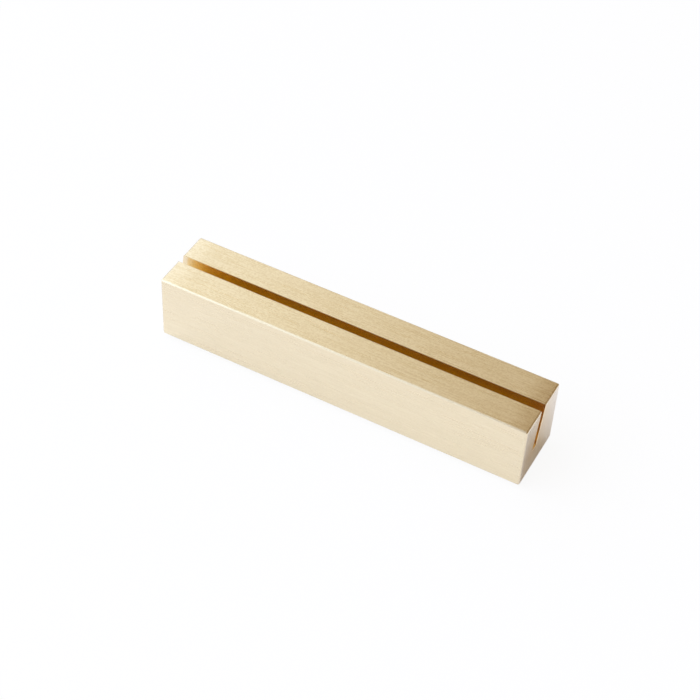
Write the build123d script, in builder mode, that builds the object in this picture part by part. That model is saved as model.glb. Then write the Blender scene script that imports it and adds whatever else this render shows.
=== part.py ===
from build123d import *
from math import cos, radians, tan
import os

# A place card holder: a square brass bar with one slot along its top for the card.
# The slot leans back, so that the card reclines and its face turns up to the reader.
# A felt pad under the bar keeps the metal off the table, held by an adhesive sheet.
# Millimetres. X runs along the bar, the front face looks to -Y and Z is up.
# The origin is on the table, under the middle of the bar.

# Bar, cut from square stock, with every outer edge eased
bar_length = 102.0
bar_side = 19.0
edge_radius = 0.55

# Card slot, cut from end to end with a level floor, its mouth in the middle of the top
slot_width = 2.4
slot_depth = 12.0
slot_lean = 11.0
foot_radius = 0.3
lip_radius = 0.15

# Felt pad and its adhesive, die-cut together and set in from the bar's sides
pad_inset = 1.5
pad_corner_radius = 2.0
felt_thickness = 1.0
adhesive_thickness = 0.15

# Heights and outlines that follow
bar_bottom = felt_thickness + adhesive_thickness
bar_top = bar_bottom + bar_side
pad_length = bar_length - 2 * pad_inset
pad_width = bar_side - 2 * pad_inset

# The leaning slot, measured level: half its mouth, and how far the lean carries its two ends.
# The cut is drawn one slot width above the bar's top, so that it clears both lips.
slot_floor = bar_top - slot_depth
cut_top = bar_top + slot_width
mouth_half = slot_width / cos(radians(slot_lean)) / 2
floor_shift = slot_depth * tan(radians(slot_lean))
cut_shift = slot_width * tan(radians(slot_lean))

os.makedirs("parts", exist_ok=True)

# Slotted bar, its section drawn on the left end and carried to the right
left_end = Plane.YZ.offset(-bar_length / 2)

with BuildPart() as slotted_bar:
    with BuildSketch(left_end) as bar_section:
        with Locations((0, bar_bottom)):
            Rectangle(bar_side, bar_side, align=(Align.CENTER, Align.MIN))
    extrude(amount=bar_length)
    fillet(slotted_bar.edges(), edge_radius)
    with BuildSketch(left_end) as slot_section:
        with BuildLine() as slot_outline:
            Polyline(
                (-mouth_half - floor_shift, slot_floor),
                (mouth_half - floor_shift, slot_floor),
                (mouth_half + cut_shift, cut_top),
                (-mouth_half + cut_shift, cut_top),
                close=True,
            )
        make_face()
        fillet(slot_section.vertices().sort_by(Axis.Y)[:2], foot_radius)
    extrude(amount=bar_length, mode=Mode.SUBTRACT)
    # The sharp edge of the cut is broken along both lips and down both ends
    fillet(slotted_bar.edges(Select.NEW), lip_radius)

slotted_bar.part.label = "slotted_bar"
export_step(slotted_bar.part, "parts/slotted_bar.step")

# Adhesive sheet, flat against the underside of the bar
with BuildPart() as adhesive_sheet:
    with BuildSketch(Plane.XY.offset(felt_thickness)) as adhesive_outline:
        RectangleRounded(pad_length, pad_width, pad_corner_radius)
    extrude(amount=adhesive_thickness)

adhesive_sheet.part.label = "adhesive_sheet"
export_step(adhesive_sheet.part, "parts/adhesive_sheet.step")

# Felt pad, from the table up to the adhesive
with BuildPart() as felt_pad:
    with BuildSketch(Plane.XY) as felt_outline:
        RectangleRounded(pad_length, pad_width, pad_corner_radius)
    extrude(amount=felt_thickness)

felt_pad.part.label = "felt_pad"
export_step(felt_pad.part, "parts/felt_pad.step")
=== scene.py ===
# %% [markdown]
# # A place card holder in brushed brass
#
# The object is one square bar of brass, about as long as a hand is wide, that stands on a laid table.
# A slot runs along its top from end to end and leans back a little, so a name card pushed into it
# reclines and faces the guest. A strip of felt under the bar keeps the metal off the table.
#
# The shape was settled in CAD, so this lesson loads that model first and dresses it. Every length below
# is in metres, X runs along the bar, the front face looks towards -Y and Z is up.

import bpy
import numpy as np
from mathutils import Matrix, Vector


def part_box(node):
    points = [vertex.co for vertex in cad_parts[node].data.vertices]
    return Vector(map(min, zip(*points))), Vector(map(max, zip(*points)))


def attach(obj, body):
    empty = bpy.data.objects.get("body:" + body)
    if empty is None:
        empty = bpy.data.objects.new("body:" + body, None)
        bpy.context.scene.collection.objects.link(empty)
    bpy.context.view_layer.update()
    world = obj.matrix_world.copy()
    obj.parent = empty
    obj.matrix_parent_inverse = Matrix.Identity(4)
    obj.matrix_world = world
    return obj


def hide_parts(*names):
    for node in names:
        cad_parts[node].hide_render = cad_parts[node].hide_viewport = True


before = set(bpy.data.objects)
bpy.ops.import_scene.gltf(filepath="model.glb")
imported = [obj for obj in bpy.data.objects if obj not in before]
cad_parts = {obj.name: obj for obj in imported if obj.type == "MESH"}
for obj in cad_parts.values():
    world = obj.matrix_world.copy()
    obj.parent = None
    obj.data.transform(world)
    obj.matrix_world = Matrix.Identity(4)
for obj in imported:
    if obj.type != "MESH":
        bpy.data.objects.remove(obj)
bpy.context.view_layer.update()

MM = 0.001
bar_low, bar_high = (np.array(corner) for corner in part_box("slotted_bar"))
felt_low, felt_high = (np.array(corner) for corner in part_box("felt_pad"))
print("bar, mm:", ((bar_high - bar_low) / MM).round(2))
print("felt, mm:", ((felt_high - felt_low) / MM).round(2))

# %% [markdown]
# ## The camera
#
# Matching a photograph starts with its camera. A bar with straight edges makes this easy: its corners
# fix the focal length, the distance and the tilt together. The camera looks down at about 45 degrees, a
# little from the right, and it was held slightly askew, so the view is also rolled by a few degrees.
# The directions are worked out from those angles and put into one matrix, because a tracking constraint
# would leave the roll out.

# %% Camera
CAMERA_AZIMUTH, CAMERA_ELEVATION, CAMERA_ROLL = np.radians([25.963, 45.271, 3.585])
CAMERA_DISTANCE = 434.7 * MM
CAMERA_TARGET = np.array([-2.065, 1.672, 10.65]) * MM
CAMERA_LENS, CAMERA_SENSOR, CAMERA_CLIP = 88.775, 36.0, 10 * MM

backward = np.array([
    np.sin(CAMERA_AZIMUTH) * np.cos(CAMERA_ELEVATION),
    -np.cos(CAMERA_AZIMUTH) * np.cos(CAMERA_ELEVATION),
    np.sin(CAMERA_ELEVATION),
])
level_right = np.array([np.cos(CAMERA_AZIMUTH), np.sin(CAMERA_AZIMUTH), 0.0])
level_up = np.cross(backward, level_right)
right = level_right * np.cos(CAMERA_ROLL) + level_up * np.sin(CAMERA_ROLL)
up = level_up * np.cos(CAMERA_ROLL) - level_right * np.sin(CAMERA_ROLL)
eye = CAMERA_TARGET + backward * CAMERA_DISTANCE

camera_matrix = np.eye(4)
camera_matrix[:3] = np.column_stack([right, up, backward, eye])

camera = bpy.data.objects.new("camera", bpy.data.cameras.new("camera"))
camera.data.lens, camera.data.sensor_width = CAMERA_LENS, CAMERA_SENSOR
camera.data.clip_start = CAMERA_CLIP
camera.matrix_world = Matrix(camera_matrix)
bpy.context.scene.collection.objects.link(camera)
bpy.context.scene.camera = camera
print("camera at, mm:", (eye / MM).round(1))

# %% [markdown]
# ## The section of the bar
#
# Cut across, the bar is a square with a leaning slot in its top: eight corners, and not one of them sharp.
# The outer corners were eased on a belt, the lips of the slot were only touched with a file, and the foot
# of the slot has the small radius that the cutter left.
# A Bevel modifier could round a plain prism. Here the corners are rounded by formula instead, because the
# arcs then come with exact normals, and a flat face keeps its own normal right up to them.

# %% Rounded outline
ARC_STEPS = 7


def rounded_outline(corners, radii):
    """Replaces each corner of closed outlines by an arc that touches both of its sides.

    corners is (outlines, corners, 2), listed counter-clockwise, and radii is (outlines, corners). The arc's
    centre lies on the bisector, at radius / sin(half the corner's angle), and the arc turns evenly from the
    foot of one side to the foot of the other. Returns points and outward normals, each
    (outlines, corners * steps, 2).
    """
    back = np.roll(corners, 1, axis=1) - corners
    ahead = np.roll(corners, -1, axis=1) - corners
    back /= np.linalg.norm(back, axis=2, keepdims=True)
    ahead /= np.linalg.norm(ahead, axis=2, keepdims=True)
    bisector = back + ahead
    bisector /= np.linalg.norm(bisector, axis=2, keepdims=True)
    half_angle = np.arccos(np.clip((back * ahead).sum(2), -1, 1)) / 2
    centre = corners + bisector * (radii / np.sin(half_angle))[..., None]
    touch_back = corners + back * (radii / np.tan(half_angle))[..., None]
    touch_ahead = corners + ahead * (radii / np.tan(half_angle))[..., None]
    first = (touch_back - centre) / radii[..., None]
    last = (touch_ahead - centre) / radii[..., None]
    sweep = (np.pi - 2 * half_angle)[..., None, None]
    step = np.linspace(0, 1, ARC_STEPS)[:, None]
    spoke = np.sin((1 - step) * sweep) * first[:, :, None] + np.sin(step * sweep) * last[:, :, None]
    spoke /= np.sin(sweep)
    points = centre[:, :, None] + spoke * radii[..., None, None]
    # At an inside corner the metal is on the far side of the arc, so its normal points back at the centre
    convex = np.sign(ahead[..., 0] * back[..., 1] - ahead[..., 1] * back[..., 0])
    normals = spoke * convex[..., None, None]
    flat = (len(corners), -1, 2)
    return points.reshape(flat), normals.reshape(flat)


print("points to a rounded corner:", ARC_STEPS)

# %% [markdown]
# ## The bar, carried along its length
#
# The solid could be a prism with rounded ends from a boolean cut. Carrying the section along X keeps
# everything in one formula: on the way to each end the outer square shrinks and the slot opens, both by
# radius * (1 - cos(angle)), while the surface runs out by radius * sin(angle). That is a quarter circle,
# so the ends get the same eased edges as the long sides. The flat end faces are then one strip of quads
# that bends round the slot like a letter U.
# A belt takes a trace more off near the ends, which shows only in how the light turns there. So over the
# last millimetres the normals lean outwards by a few degrees, while the points stay where they are.

# %% Bar lengths
BAR_LENGTH, BAR_SIDE = (bar_high - bar_low)[:2]
EDGE_RADIUS, END_EASE = 0.55 * MM, 0.52 * MM
SLOT_WIDTH, SLOT_DEPTH, SLOT_LEAN = 2.4 * MM, 12.0 * MM, np.radians(11.0)
FOOT_RADIUS, LIP_RADIUS, SLOT_END_EASE = 0.3 * MM, 0.15 * MM, 0.14 * MM


def bar_section(shrink, widen):
    """The bar's outline in (Y, Z), its outer square drawn in by shrink, the slot's walls set back by widen.

    Corners go counter-clockwise from the bottom front. A wall at height z stands half a mouth to either
    side of (z - top) * tan(lean), so the slot is level across its mouth and its floor.
    """
    half = BAR_SIDE / 2 - shrink
    bottom, top = bar_low[2] + shrink, bar_high[2] - shrink
    floor = bar_high[2] - SLOT_DEPTH - widen
    mouth = (SLOT_WIDTH / 2 + widen) / np.cos(SLOT_LEAN)
    top_shift = (top - bar_high[2]) * np.tan(SLOT_LEAN)
    floor_shift = (floor - bar_high[2]) * np.tan(SLOT_LEAN)
    corners = np.array([
        [-half, bottom], [half, bottom], [half, top],
        [mouth + top_shift, top], [mouth + floor_shift, floor],
        [-mouth + floor_shift, floor], [-mouth + top_shift, top],
        [-half, top],
    ]).transpose(2, 0, 1)
    outer, lip, foot = EDGE_RADIUS - shrink, LIP_RADIUS + 0 * shrink, FOOT_RADIUS + widen
    radii = np.array([outer, outer, outer, lip, foot, foot, lip, outer]).T
    return rounded_outline(corners, radii)


print("slot, mm:", SLOT_WIDTH / MM, "wide,", SLOT_DEPTH / MM, "deep")

# %% Bar points
END_STEPS, BODY_STEPS = 7, 52

quarter = np.linspace(0, np.pi / 2, END_STEPS)
body = np.linspace(-1, 1, BODY_STEPS)
along = np.concatenate([-np.ones(END_STEPS - 1), body, np.ones(END_STEPS - 1)])[:, None]
turn = np.concatenate([quarter[:0:-1], 0 * body, quarter[1:]])[:, None]
to_end = np.sign(along)

ramp = np.linspace(0, 1, ARC_STEPS)
outside, inside = np.zeros(ARC_STEPS), np.ones(ARC_STEPS)
in_slot = np.concatenate([outside, outside, outside, ramp, inside, inside, 1 - ramp, outside])
ease = END_EASE + (SLOT_END_EASE - END_EASE) * in_slot

opening = 1 - np.cos(turn[:, 0])
bar_yz, bar_normal_yz = bar_section(END_EASE * opening, SLOT_END_EASE * opening)
bar_x = along * (BAR_LENGTH / 2 - ease) + to_end * ease * np.sin(turn)
bar_points = np.dstack([bar_x, bar_yz])
print("bar grid:", bar_points.shape, "x from", bar_x.min() / MM, "to", bar_x.max() / MM)

# %% Bar normals
ROLL_LENGTH, ROLL_ANGLE = 6.0 * MM, np.radians(3.5)

from_end = BAR_LENGTH / 2 - np.abs(bar_x)
near_end = np.clip((ROLL_LENGTH - from_end) / ROLL_LENGTH, 0, 1) * (1 - in_slot)
roll = to_end * np.tan(ROLL_ANGLE) * near_end * np.cos(turn)
bar_normals = np.dstack([to_end * np.sin(turn) + roll, bar_normal_yz * np.cos(turn)[..., None]])
bar_normals /= np.linalg.norm(bar_normals, axis=2, keepdims=True)
print("bar normals:", bar_normals.shape)


# %% [markdown]
# ## From arrays to a mesh
#
# Blender wants a list of points and a list of faces. On a section that is carried along a path the faces
# follow from the numbering alone: each quad joins two neighbours on one outline to the same two on the
# next. Typing faces in by hand, or bridging loops in the editor, gives the same mesh with more work.

# %% Quads of a carried section
def carried_quads(stations, ring, cap_from, cap_to):
    """Quads of a closed section of ring points carried over stations, with both ends closed.

    Side quads join neighbours on the ring and on the next station. Each end is a strip that joins the points
    cap_from to the points cap_to, two lists of equal length that run side by side across the flat end.
    """
    station, point = np.meshgrid(np.arange(stations - 1) * ring, np.arange(ring), indexing="ij")
    beside = (point + 1) % ring
    here, there = station, station + ring
    sides = np.stack([here + point, here + beside, there + beside, there + point], axis=-1)
    strip = np.stack([cap_from[:-1], cap_from[1:], cap_to[1:], cap_to[:-1]], axis=-1)
    return np.concatenate([sides.reshape(-1, 4), strip[:, ::-1], strip + (stations - 1) * ring])


def mesh_piece(name, points, quads, normals=None, attributes=None):
    """A mesh object at the origin from whole arrays, smooth-shaded, with its own normals where known."""
    mesh = bpy.data.meshes.new(name)
    mesh.from_pydata(points.reshape(-1, 3), [], quads)
    mesh.polygons.foreach_set("use_smooth", np.ones(len(quads), bool))
    for key, values in (attributes or {}).items():
        carried = mesh.attributes.new(key, "FLOAT", "POINT")
        carried.data.foreach_set("value", np.ravel(values).astype(np.float32))
    if normals is not None:
        mesh.normals_split_custom_set_from_vertices(normals.reshape(-1, 3))
    mesh.validate()
    piece = bpy.data.objects.new(name, mesh)
    bpy.context.scene.collection.objects.link(piece)
    print(name, "faces:", len(mesh.polygons))
    return piece


# %% [markdown]
# ## The bar as a piece
#
# The finish differs from place to place, so the mesh carries four values at its points: where the slot is,
# how deep, where the end is, and how far a face looks up. Painting them by hand would work too, but the
# formulas above already know them. The depth sets the slot's painted glow, and it fades out towards the
# slot's open ends, where daylight reaches in.

# %% Bar piece
FIRST_LIP, PAST_LIP, CORNERS = 3, 7, 8
SLOT_OPEN_END = 6.0 * MM

bar_stations, bar_ring = bar_x.shape
slot_part = np.arange(FIRST_LIP * ARC_STEPS, PAST_LIP * ARC_STEPS)
before_slot, after_slot = np.arange(slot_part[0]), np.arange(slot_part[-1] + 1, CORNERS * ARC_STEPS)
outer_part = np.concatenate([before_slot[::-1], after_slot[::-1]])
depth = np.clip((bar_high[2] - bar_points[..., 2]) / SLOT_DEPTH, 0, 1) * in_slot
# Near the open ends the depth, and with it the slot's painted glow, fades out
depth *= np.clip(from_end / SLOT_OPEN_END, 0, 1)
end_face = np.sin(turn) + 0 * bar_x
faces_up = np.clip(bar_normals[..., 2], 0, 1)

brass_bar = mesh_piece(
    "brass_bar", bar_points, carried_quads(bar_stations, bar_ring, slot_part, outer_part), bar_normals,
    {"in_slot": in_slot + 0 * bar_x, "slot_depth": depth, "end_face": end_face, "faces_up": faces_up},
)
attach(brass_bar, "root")
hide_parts("slotted_bar")

# %% [markdown]
# ## The felt pad
#
# Pressed felt is die-cut, so its outline is crisp but its edge is soft: fibres stand a little proud and the
# corners of the section slump. A cloth simulation would add nothing to a strip that is glued flat. The pad
# is a flat section with round edges, carried along X, narrower over the rounded corners, and its rim and
# its faces wander by a few hundredths of a millimetre.

# %% Felt pad lengths
FELT_LENGTH, FELT_WIDTH, FELT_THICKNESS = felt_high - felt_low
FELT_CORNER, FELT_RIM = 2.0 * MM, 0.3 * MM
RIM_WANDER, FACE_WANDER = 0.08 * MM, 0.02 * MM
RIM_SEED, FACE_SEED = 3, 4
WAVES, WAVE_PITCHES, WAVE_SWINGS = 24, (300, 3200), (1, 9)


def wander(along_length, around, seed):
    """A gentle wander between -1 and 1: the mean of sine waves of seeded pitch and phase, doubled."""
    draw = np.random.default_rng(seed)
    pitch = draw.uniform(*WAVE_PITCHES, WAVES)
    swing = draw.integers(*WAVE_SWINGS, WAVES)
    phase = draw.uniform(0, 2 * np.pi, WAVES)
    waves = np.sin(along_length[..., None] * pitch + around[..., None] * swing + phase)
    return np.clip(waves.mean(-1) * 2, -1, 1)


print("felt thickness, mm:", FELT_THICKNESS / MM)

# %% Felt pad outline
CORNER_STEPS, LENGTH_STEPS = 21, 140
END_THINNEST = 0.985

corner_turn = np.linspace(0, np.pi / 2, CORNER_STEPS)[1:]
straight_half = FELT_LENGTH / 2 - FELT_CORNER
corner_x = straight_half + FELT_CORNER * np.sin(corner_turn)
corner_half = FELT_WIDTH / 2 - FELT_CORNER * (1 - np.cos(corner_turn))
straight_x = np.linspace(-straight_half, straight_half, LENGTH_STEPS)
felt_x = np.concatenate([-corner_x[::-1], straight_x, corner_x])[:, None]
felt_half = np.concatenate([corner_half[::-1], 0 * straight_x + FELT_WIDTH / 2, corner_half])[:, None]
past_rim = np.clip((np.abs(felt_x) - FELT_LENGTH / 2 + FELT_RIM) / FELT_RIM, 0, END_THINNEST)
thickness = FELT_THICKNESS * np.sqrt(1 - past_rim ** 2)
print("felt stations:", len(felt_x))

# %% Felt pad surface
RIM_STEPS, ACROSS_STEPS = 8, 25

rim_turn = np.linspace(0, np.pi, RIM_STEPS + 2)[1:-1]
across = np.linspace(-1, 1, ACROSS_STEPS)
flat_share = np.concatenate([across, 0 * rim_turn + 1, -across, 0 * rim_turn - 1])
rim_share = np.concatenate([0 * across, np.sin(rim_turn), 0 * across, -np.sin(rim_turn)])
height_share = np.concatenate([0 * across - 1, -np.cos(rim_turn), 0 * across + 1, np.cos(rim_turn)])
around = np.linspace(0, 2 * np.pi, len(flat_share), endpoint=False) + 0 * felt_x
rim_loss = RIM_WANDER * (1 + wander(felt_x + 0 * around, around, RIM_SEED)) / 2
face_loss = FACE_WANDER * (1 + wander(felt_x + 0 * around, 2 * around, FACE_SEED)) / 2

felt_y = flat_share * (felt_half - FELT_RIM) + rim_share * (FELT_RIM - rim_loss)
felt_z = felt_low[2] + FELT_THICKNESS / 2 + height_share * (thickness / 2 - face_loss)
felt_points = np.dstack([felt_x + 0 * around, felt_y, felt_z])
print("felt grid:", felt_points.shape)

# %% Felt pad piece
felt_stations, felt_ring = around.shape
from_middle = np.roll(np.arange(felt_ring), RIM_STEPS // 2)
lower_half, upper_half = from_middle[:felt_ring // 2], from_middle[felt_ring // 2:][::-1]
felt_strip = mesh_piece(
    "felt_strip", felt_points, carried_quads(felt_stations, felt_ring, lower_half, upper_half),
)
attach(felt_strip, "root")
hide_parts("felt_pad")


# %% [markdown]
# ## Writing shaders as sums
#
# Blender's materials are node graphs. Drawing them by hand is fine, but written out, a streak that is half
# one noise and half another reads best as plain arithmetic. The small class below stands for one value on
# its way through the graph: adding or multiplying two of them adds a Math node, and one method makes any
# other node.

# %% Values that build nodes
class Value:
    """One output socket in a node tree. Arithmetic on it adds Math nodes and gives the result as a Value."""

    def __init__(self, tree, socket=None):
        self.tree, self.socket = tree, socket

    def node(self, kind, settings=None, inputs=None, output=0):
        """Adds a node of a kind, applies its settings, fills its sockets and gives one of its outputs."""
        made = self.tree.nodes.new(kind)
        for key, setting in (settings or {}).items():
            setattr(made, key, setting)
        for key, value in (inputs or {}).items():
            if isinstance(value, Value):
                self.tree.links.new(value.socket, made.inputs[key])
            else:
                made.inputs[key].default_value = value
        return Value(self.tree, made.outputs[output] if len(made.outputs) else None)

    def math(self, operation, first, second):
        """One Math node on two values or numbers."""
        return self.node("ShaderNodeMath", {"operation": operation}, {0: first, 1: second})

    def __add__(self, other):
        return self.math("ADD", self, other)

    def __sub__(self, other):
        return self.math("SUBTRACT", self, other)

    def __mul__(self, other):
        return self.math("MULTIPLY", self, other)

    def __rsub__(self, other):
        return self.math("SUBTRACT", other, self)

    __radd__, __rmul__ = __add__, __mul__

    def spread(self, low, high):
        """Maps low..high onto 0..1, smoothly, and holds it there outside."""
        settings = {"interpolation_type": "SMOOTHSTEP"}
        return self.node("ShaderNodeMapRange", settings, {"Value": self, "From Min": low, "From Max": high})

    def colour_between(self, first, second):
        """A colour that goes from first, where this value is 0, to second, where it is 1."""
        return self.node("ShaderNodeMix", {"data_type": "RGBA"}, {0: self, 6: first, 7: second}, 2)

    def halfway(self):
        """1 where this value is a half and 0 where it is 0 or 1: four times value * (1 - value)."""
        return self * (1 - self) * 4

    def noise(self, scale, detail, roughness=0.5):
        """Noise over Object coordinates, stretched by one scale for each axis, in waves a metre."""
        place = self.node("ShaderNodeTexCoord", output="Object")
        stretched = self.node("ShaderNodeVectorMath", {"operation": "MULTIPLY"}, {0: place, 1: scale})
        inputs = {"Vector": stretched, "Scale": 1.0, "Detail": detail, "Roughness": roughness}
        return self.node("ShaderNodeTexNoise", None, inputs)

    def attribute(self, name):
        """A value that the mesh carries at its points."""
        return self.node("ShaderNodeAttribute", {"attribute_name": name}, None, "Fac")


# %% Materials from values
def new_material(name):
    """An empty material, and a Value to start its expressions from."""
    material = bpy.data.materials.new(name)
    material.use_nodes = True
    material.node_tree.nodes.clear()
    return material, Value(material.node_tree)


def finish_material(start, inputs):
    """One Principled shader with these inputs, wired to the material's output."""
    surface = start.node("ShaderNodeBsdfPrincipled", None, inputs)
    start.node("ShaderNodeOutputMaterial", None, {"Surface": surface})
    print("material nodes:", len(start.tree.nodes))


# %% [markdown]
# ## Brushed brass
#
# The long faces were drawn along an abrasive belt, which leaves fine scratches and a soft, satin shine. The
# ends were brushed across. A picture of scratches would tile and blur, so the scratches are noise,
# stretched along X at two sizes, or along Y on the ends. They are used three times: as tiny ridges for the
# light to catch, as a change of gloss, and as a change of tone. A fine grain joins the tone, and both show
# most on the top. A thin lacquer keeps these faces bright, which is the shader's coat.

# %% Scratches in the brass
# Each scale is in waves a metre along X, Y and Z
FINE_SCRATCH, BROAD_SCRATCH = (110, 8000, 8000), (90, 2600, 2600)
ACROSS_SCRATCH = (8000, 300, 8000)
GRAIN, CLOUD = (2200, 3500, 3500), (18, 160, 160)
FINE_SHARE, BROAD_SHARE = 0.35, 0.65
NOISE_MIDDLE = 0.5

brass, start = new_material("brushed_brass")
in_slot_mask, slot_glow_depth_mask, end_mask, up_mask = (
    start.attribute(key) for key in ("in_slot", "slot_depth", "end_face", "faces_up")
)
long_scratch = start.noise(FINE_SCRATCH, 2) * FINE_SHARE + start.noise(BROAD_SCRATCH, 3) * BROAD_SHARE
end_scratch = start.noise(ACROSS_SCRATCH, 2)
scratch = long_scratch * (1 - end_mask) + end_scratch * end_mask - NOISE_MIDDLE
grain = start.noise(GRAIN, 1) - NOISE_MIDDLE
cloud = start.noise(CLOUD, 2) - NOISE_MIDDLE
print("nodes for the scratches:", len(start.tree.nodes))

# %% Tone of the brushed faces
BRASS_PALE, BRASS_DEEP = (0.975, 0.865, 0.610, 1), (0.830, 0.705, 0.450, 1)
# The end faces are painted paler and less yellow than the long faces: a painted lighter tone for how light
# falls on them
END_PAINTED_PALE, END_PAINTED_DEEP = (0.985, 0.900, 0.710, 1), (0.930, 0.830, 0.630, 1)
END_STARTS = 0.75
SIDE_GRAIN, TOP_GRAIN = 0.11, 0.47
SIDE_SCRATCH, TOP_SCRATCH = 0.23, 0.48
CLOUD_TONE, TONE_REACH = 0.05, 0.14

speck = grain * (SIDE_GRAIN + up_mask * TOP_GRAIN) + scratch * (SIDE_SCRATCH + up_mask * TOP_SCRATCH)
tone = (speck + cloud * CLOUD_TONE).spread(-TONE_REACH, TONE_REACH)
long_colour = tone.colour_between(BRASS_DEEP, BRASS_PALE)
end_painted_light_colour = tone.colour_between(END_PAINTED_DEEP, END_PAINTED_PALE)
face_colour = end_mask.spread(END_STARTS, 1.0).colour_between(long_colour, end_painted_light_colour)
print("nodes with the tone:", len(start.tree.nodes))

# %% [markdown]
# ## Edges, lips and slot
#
# The eased upper edges were rubbed more than the faces and are painted paler, which also paints in the bright
# highlight band along them. The lips of the slot were filed, carry no lacquer and are painted darker, a
# painted shade where they turn down into the slot. Both lie where one of the mesh's values is on its way
# from 0 to 1, so no extra mask is needed.
# The slot was cut last and is bare. Light bounces many times between its two walls and takes on colour each
# time, so plain brass would go nearly black down there. Its colour is painted paler and yellower towards the
# foot, a painted glow in place of the lost light, so enough light comes back out.

# %% Colour of the edges, lips and slot
# The upper edges are painted paler: rubbed wear and a painted highlight band along them together
EDGE_PALE_AND_HIGHLIGHT, EDGE_HIGHLIGHT_SHARE = (0.99, 0.92, 0.70, 1), 0.45
# The slot's lips are painted darker: a painted shade where they turn down into the slot
LIP_PAINTED_SHADE, LIP_SHADE_SHARE = (0.50, 0.34, 0.14, 1), 0.8
# The slot is painted paler and yellower towards its foot: a painted glow for the light lost between its walls
BRASS_RAW, BRASS_FOOT_PAINTED_GLOW = (0.92, 0.765, 0.50, 1), (0.98, 0.92, 0.42, 1)

edge_mask = up_mask.halfway()
lip_mask = in_slot_mask.halfway() * (1 - end_mask)
brushed_and_edge_highlight_colour = (edge_mask * (1 - end_mask) * EDGE_HIGHLIGHT_SHARE).colour_between(face_colour, EDGE_PALE_AND_HIGHLIGHT)
raw_colour_with_painted_glow = slot_glow_depth_mask.colour_between(BRASS_RAW, BRASS_FOOT_PAINTED_GLOW)
clean_colour = in_slot_mask.colour_between(brushed_and_edge_highlight_colour, raw_colour_with_painted_glow)
brass_colour = (lip_mask * LIP_SHADE_SHARE).colour_between(clean_colour, LIP_PAINTED_SHADE)
print("nodes with the slot:", len(start.tree.nodes))

# %% Gloss, ridges and lacquer
SATIN, SCRATCH_GLOSS, CLOUD_GLOSS = 0.29, 0.2, 0.06
SLOT_SHINE, END_SHINE = 0.09, 0.06
RIDGE_HEIGHT, SLOT_SMOOTH, EDGE_SMOOTH = 0.07 * MM, 0.9, 0.6
LACQUER, LACQUER_ROUGHNESS, LACQUER_IOR = 0.8, 0.25, 1.5

brushed_roughness = SATIN + scratch * SCRATCH_GLOSS + cloud * CLOUD_GLOSS
brass_roughness = brushed_roughness - in_slot_mask * SLOT_SHINE - end_mask * END_SHINE
ridges = scratch * (1 - in_slot_mask * SLOT_SMOOTH) * (1 - edge_mask * EDGE_SMOOTH)
brass_bump = start.node(
    "ShaderNodeBump", None, {"Strength": 1.0, "Distance": RIDGE_HEIGHT, "Height": ridges},
)
lacquer = (1 - in_slot_mask) * (1 - lip_mask) * LACQUER
finish_material(start, {
    "Base Color": brass_colour, "Metallic": 1.0, "Roughness": brass_roughness, "Normal": brass_bump,
    "Coat Weight": lacquer, "Coat Roughness": LACQUER_ROUGHNESS, "Coat IOR": LACQUER_IOR,
})
brass_bar.data.materials.append(brass)

# %% [markdown]
# ## Felt and its adhesive
#
# Wool felt has no weave: it is a mat of fibres, mottled between near black and grey, with no shine and a
# faint bloom at grazing angles. A hair system would be heavy for a strip that hardly shows. Three noises do
# it: a mottle, and long thin fibres in two directions, which also raise a fine bump.
# The adhesive is a film of clear acrylic that shows only as a thin waxy line, cloudy where air was caught.
# Its CAD solid already has the right shape, so it stays and only gets a finish.

# %% Felt finish
FELT_DARK, FELT_GREY = (0.022, 0.022, 0.025, 1), (0.085, 0.085, 0.092, 1)
MOTTLE, MOTTLE_ROUGHNESS = (900, 900, 900), 0.6
FIBRE_ALONG, FIBRE_ACROSS = (700, 6000, 3000), (6000, 700, 3000)
FIBRE_HEIGHT, FIBRE_STRENGTH = 0.08 * MM, 0.8
NOISE_LOW, NOISE_HIGH, HALF = 0.35, 0.65, 0.5

felt, start = new_material("charcoal_felt")
mottle = start.noise(MOTTLE, 4, MOTTLE_ROUGHNESS)
fibre = start.noise(FIBRE_ALONG, 3) * HALF + start.noise(FIBRE_ACROSS, 3) * HALF
felt_tone = (mottle * HALF + fibre * HALF).spread(NOISE_LOW, NOISE_HIGH)
felt_bump = start.node(
    "ShaderNodeBump", None, {"Strength": FIBRE_STRENGTH, "Distance": FIBRE_HEIGHT, "Height": fibre},
)
finish_material(start, {
    "Base Color": felt_tone.colour_between(FELT_DARK, FELT_GREY), "Roughness": 0.95, "Normal": felt_bump,
    "Sheen Weight": 0.25, "Sheen Roughness": 0.6, "Specular IOR Level": 0.1,
})
felt_strip.data.materials.append(felt)

# %% Adhesive finish
FILM_CLEAR, FILM_CLOUDY = (0.72, 0.70, 0.64, 1), (0.86, 0.85, 0.80, 1)
AIR_PATCHES = (500, 500, 2000)
FILM_GLOSS, AIR_GLOSS = 0.35, 0.3

film, start = new_material("clear_adhesive")
cloudy = start.noise(AIR_PATCHES, 3)
finish_material(start, {
    "Base Color": cloudy.spread(NOISE_LOW, NOISE_HIGH).colour_between(FILM_CLEAR, FILM_CLOUDY),
    "Roughness": FILM_GLOSS + cloudy * AIR_GLOSS, "Subsurface Weight": 0.2, "Subsurface Scale": 0.1 * MM,
})
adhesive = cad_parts["adhesive_sheet"]
adhesive.data.materials.clear()
adhesive.data.materials.append(film)
print("adhesive_sheet keeps its CAD mesh:", len(adhesive.data.polygons), "faces")

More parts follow.
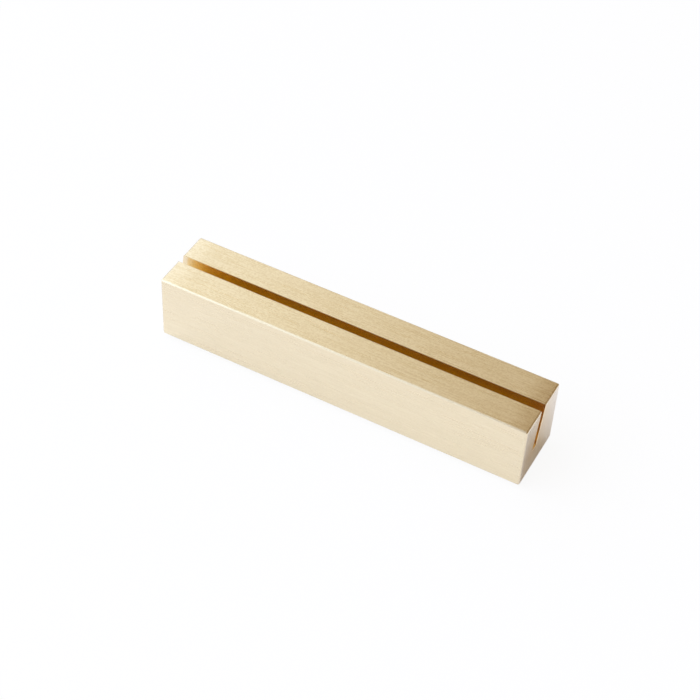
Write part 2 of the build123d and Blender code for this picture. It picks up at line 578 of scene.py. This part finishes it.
# %% [markdown]
# ## Floor, room and light
#
# Metal has hardly any colour of its own: it shows the room. The photograph's room is a white table with
# broad daylight from the left, a warm wall behind, and a dim, warm space to the right.
# A lamp could stand for each of these, but a lamp's sharp border shows even in satin metal. So the room is
# painted on the world, with soft changes from one direction to the next. One window-like lamp lights the
# table, casts the bar's soft shadow and stays out of the metal. The floor shows the camera a plain white,
# and it still takes that shadow.

# %% Floor
FLOOR_HALF = 4.0
FLOOR_COLOUR = (0.93, 0.94, 0.96, 1)
WHITE = (1, 1, 1, 1)
CAMERA_SHARE, MIRROR_SHARE = 0.92, 0.1

floor_corners = np.array([[-1, -1, 0], [1, -1, 0], [1, 1, 0], [-1, 1, 0]]) * FLOOR_HALF
floor_object = mesh_piece("floor", floor_corners, np.array([[0, 1, 2, 3]]))

floor_material, start = new_material("white_table")
seen_by_camera, seen_in_metal, seen_through = (
    start.node("ShaderNodeLightPath", output=f"Is {kind} Ray") for kind in ("Camera", "Glossy", "Transmission")
)
white_share = (seen_by_camera + seen_through) * CAMERA_SHARE + seen_in_metal * MIRROR_SHARE
matt = start.node("ShaderNodeBsdfDiffuse", None, {"Color": FLOOR_COLOUR})
plain = start.node("ShaderNodeEmission", None, {"Color": WHITE, "Strength": 1.0})
table = start.node("ShaderNodeMixShader", None, {0: white_share, 1: matt, 2: plain})
start.node("ShaderNodeOutputMaterial", None, {"Surface": table})
floor_object.data.materials.append(floor_material)
print("floor, m:", 2 * FLOOR_HALF)

# %% Room
BACK_FAR_LEFT, BACK_LEFT, BACK_MIDDLE = (1.22, 1.31, 1.54, 1), (1.19, 1.13, 0.95, 1), (0.36, 0.25, 0.14, 1)
FRONT_LEFT, FRONT_MIDDLE = (1.36, 1.49, 1.74, 1), (0.49, 0.43, 0.40, 1)
RIGHT_WALL = (0.36, 0.26, 0.17, 1)
# Where each change begins and ends, as a share of a direction one unit long
LEFT_CHANGE, FAR_LEFT_CHANGE, RIGHT_CHANGE = (0.08, 0.5), (0.25, 0.65), (0.05, 0.6)
FRONT_CHANGE, UP_CHANGE = (-0.5, 0.15), (0.0, 0.5)

world = bpy.data.worlds.new("room")
world.use_nodes = True
world.node_tree.nodes.clear()
start = Value(world.node_tree)
direction = start.node("ShaderNodeTexCoord", output="Generated")
to_right, to_back, to_up = (
    start.node("ShaderNodeSeparateXYZ", None, {0: direction}, axis) for axis in "XYZ"
)
leftness, far_left = (0 - to_right).spread(*LEFT_CHANGE), (0 - to_right).spread(*FAR_LEFT_CHANGE)
back_wall = leftness.colour_between(BACK_MIDDLE, far_left.colour_between(BACK_LEFT, BACK_FAR_LEFT))
back = to_up.spread(*UP_CHANGE).colour_between(BACK_MIDDLE, back_wall)
front = leftness.colour_between(FRONT_MIDDLE, FRONT_LEFT)
back_and_front = (0 - to_back).spread(*FRONT_CHANGE).colour_between(back, front)
room_light = to_right.spread(*RIGHT_CHANGE).colour_between(back_and_front, RIGHT_WALL)
room = start.node("ShaderNodeLightPath", output="Is Camera Ray").colour_between(room_light, WHITE)
background = start.node("ShaderNodeBackground", None, {"Color": room, "Strength": 1.0})
start.node("ShaderNodeOutputWorld", None, {"Surface": background})
bpy.context.scene.world = world
print("room nodes:", len(start.tree.nodes))

# %% Window
WINDOW_CENTRE, WINDOW_COLOUR = (-0.58, -0.54, 1.02), (0.95, 1.01, 1.23)
WINDOW_WIDTH, WINDOW_HEIGHT, WINDOW_RADIANCE = 1.5, 1.0, 2.06

# An even panel's power is its radiance * pi * its area
lamp = bpy.data.lights.new("window_light", "AREA")
lamp.shape, lamp.size, lamp.size_y = "RECTANGLE", WINDOW_WIDTH, WINDOW_HEIGHT
lamp.energy = WINDOW_RADIANCE * np.pi * WINDOW_WIDTH * WINDOW_HEIGHT
lamp.color = WINDOW_COLOUR
window = bpy.data.objects.new("window_light", lamp)
window.location = WINDOW_CENTRE
window.rotation_euler = (-Vector(WINDOW_CENTRE)).to_track_quat("-Z", "Y").to_euler()
window.visible_camera = window.visible_glossy = False
bpy.context.scene.collection.objects.link(window)
print("window power, W:", round(lamp.energy, 2))

# %% [markdown]
# ## Light bounces
#
# With Blender's usual number of bounces the slot renders almost black, so light may bounce more often here.

# %% Finish
BOUNCES = 24

bpy.context.scene.view_settings.view_transform = "Standard"
bpy.context.scene.cycles.max_bounces = BOUNCES
bpy.context.scene.cycles.glossy_bounces = BOUNCES
